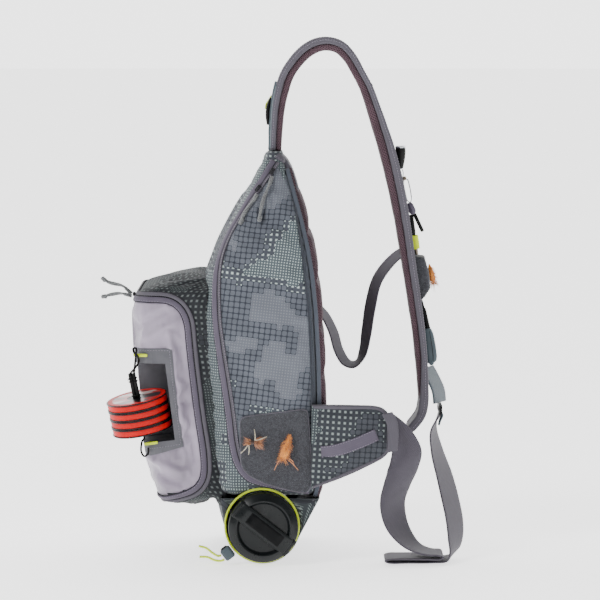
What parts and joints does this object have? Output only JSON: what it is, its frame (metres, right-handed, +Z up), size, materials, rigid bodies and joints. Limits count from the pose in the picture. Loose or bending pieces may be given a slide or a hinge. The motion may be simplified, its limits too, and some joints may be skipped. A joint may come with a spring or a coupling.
{
  "type": "fishing tackle sling bag",
  "caption": "Teardrop sling bag with a front pocket, side zip, padded shoulder strap, waist wing, webbing loop, bottle sleeve and clipped-on fishing tackle.",
  "frame": {"origin": "underside of the shoulder strap's crown, in the strap's middle plane, where it lies on the shoulder or on a hook", "axes": "+Z up; +X from the front pocket towards the wearer; -Y is the side with the main zip, the fly patch and the bottle's cap"},
  "size_m": [0.446, 0.2544, 0.6404],
  "materials": {
    "check_fabric": "woven check rip fabric, matt",
    "plain_fabric": "plain grey-lilac woven fabric and binding",
    "lilac_fabric": "coated lilac fabric with a soft sheen",
    "mesh_fabric": "maroon spacer mesh",
    "foam": "charcoal foam with a felted face",
    "patch_fabric": "dark grey stitched fabric",
    "webbing": "ribbed grey-lilac webbing",
    "black_plastic": "moulded black plastic and rubbery cord",
    "lime_fabric": "bright lime tape and cord",
    "spool_band": "red band between dark flanges",
    "chrome": "bright plated wire",
    "grey_grip": "moulded teal-grey plastic",
    "bottle_paint": "dark powder coat, gloss on the cap",
    "feather": "orange fibres",
    "dark_feather": "brown fibres"
  },
  "bodies": {
    "root": {"main_shell": "check_fabric", "side_panel": "check_fabric", "main_zip_band": "plain_fabric", "back_panel": "mesh_fabric", "fly_patch": "foam", "pocket_door": "lilac_fabric", "pocket_zip_band": "plain_fabric", "pocket_body": "check_fabric", "tippet_patch": "patch_fabric", "spool_1": "spool_band", "spool_2": "spool_band", "spool_3": "spool_band", "spool_4": "spool_band", "tippet_bar": "black_plastic", "tab_upper": "lime_fabric", "tab_lower": "lime_fabric", "shoulder_strap": "plain_fabric", "strap_lining": "mesh_fabric", "strap_anchor": "check_fabric", "strap_buckle": "black_plastic", "buckle_tab": "lime_fabric", "retractor_body": "black_plastic", "retractor_cap": "chrome", "retractor_tab": "webbing", "snap_wire": "chrome", "tool_clip": "grey_grip", "tool_rod": "chrome", "tool_shaft": "black_plastic", "lime_sleeve": "lime_fabric", "strap_fly_patch": "foam", "forceps_shaft": "black_plastic", "forceps_handle": "grey_grip", "lock_tab": "check_fabric", "ladder_lock": "black_plastic", "shoulder_webbing": "webbing", "stabiliser_webbing": "webbing", "waist_wing": "check_fabric", "wing_band": "lilac_fabric", "bottle_sleeve": "check_fabric", "sleeve_hem": "lime_fabric", "cord_lock": "grey_grip", "bottle_body": "bottle_paint", "bottle_cap": "bottle_paint", "slider_main_1": "black_plastic", "slider_main_2": "black_plastic", "slider_pocket": "black_plastic", "pull_main_1": "black_plastic", "pull_main_2": "black_plastic", "pull_pocket_1": "black_plastic", "pull_pocket_2": "black_plastic", "tail_1": "lime_fabric", "tail_2": "lime_fabric", "fly_1": "dark_feather", "fly_2": "feather", "fly_3": "feather"}
  },
  "joints": []
}
